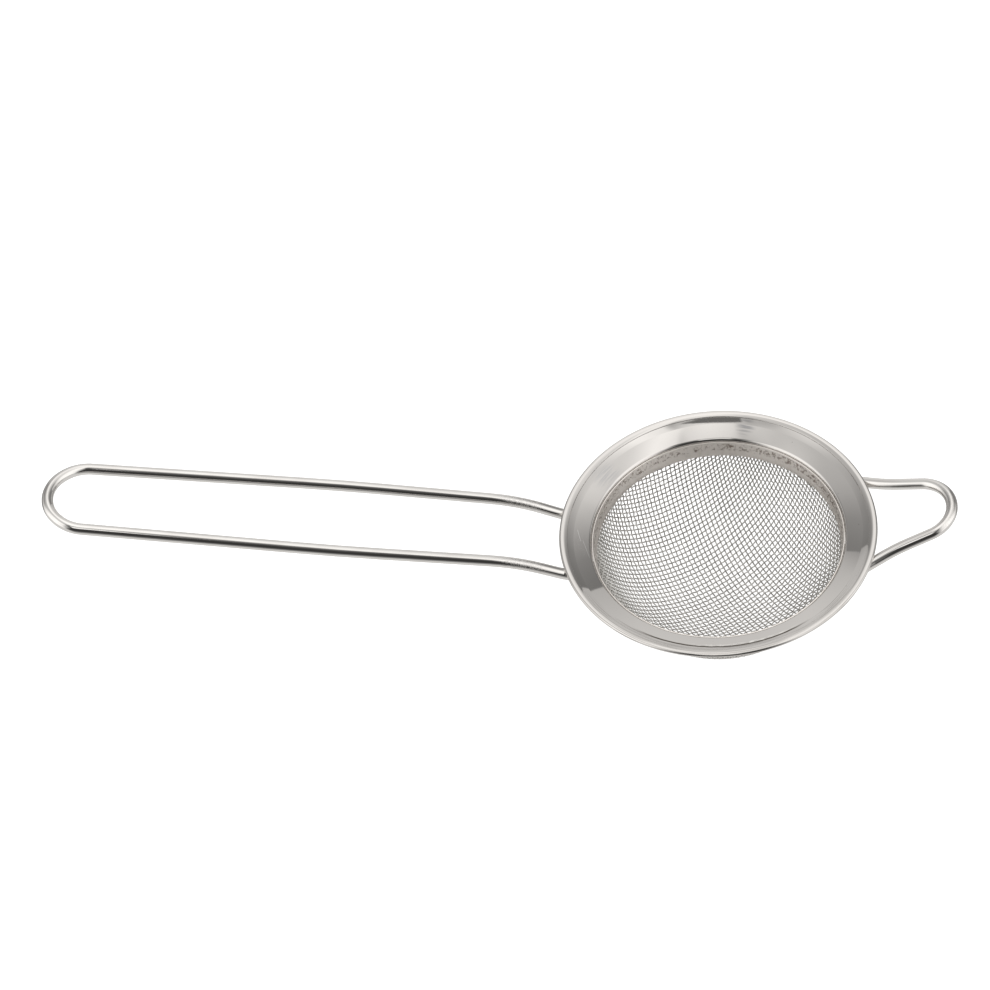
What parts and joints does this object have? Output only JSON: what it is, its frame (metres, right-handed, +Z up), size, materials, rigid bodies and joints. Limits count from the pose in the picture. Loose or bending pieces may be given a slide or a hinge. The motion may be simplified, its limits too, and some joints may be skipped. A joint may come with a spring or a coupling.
{
  "type": "tea strainer",
  "caption": "Round tea strainer: polished flanged rim, woven wire bowl, long looped wire handle and a short wire hook that rests on a cup.",
  "frame": {"origin": "on the bowl's axis, in the plane that touches the top of the rim's rolled bead", "axes": "+Z up out of the bowl's mouth, along the bowl's axis; +X towards the hook, so the handle points along -X and rises a little; +Y across, completing a right-handed frame"},
  "size_m": [0.1973, 0.07, 0.0591],
  "materials": {
    "polished_steel": "mirror-polished stainless steel sheet",
    "dull_steel": "plain mill-finish stainless strip with spot-weld marks",
    "wire_cloth": "bright drawn stainless wire, plain weave",
    "bright_wire": "electropolished stainless wire"
  },
  "bodies": {
    "root": {"rim_flange": "polished_steel", "mesh_band": "dull_steel", "mesh_bowl": "wire_cloth", "handle_wire": "bright_wire", "hook_wire": "bright_wire"}
  },
  "joints": []
}
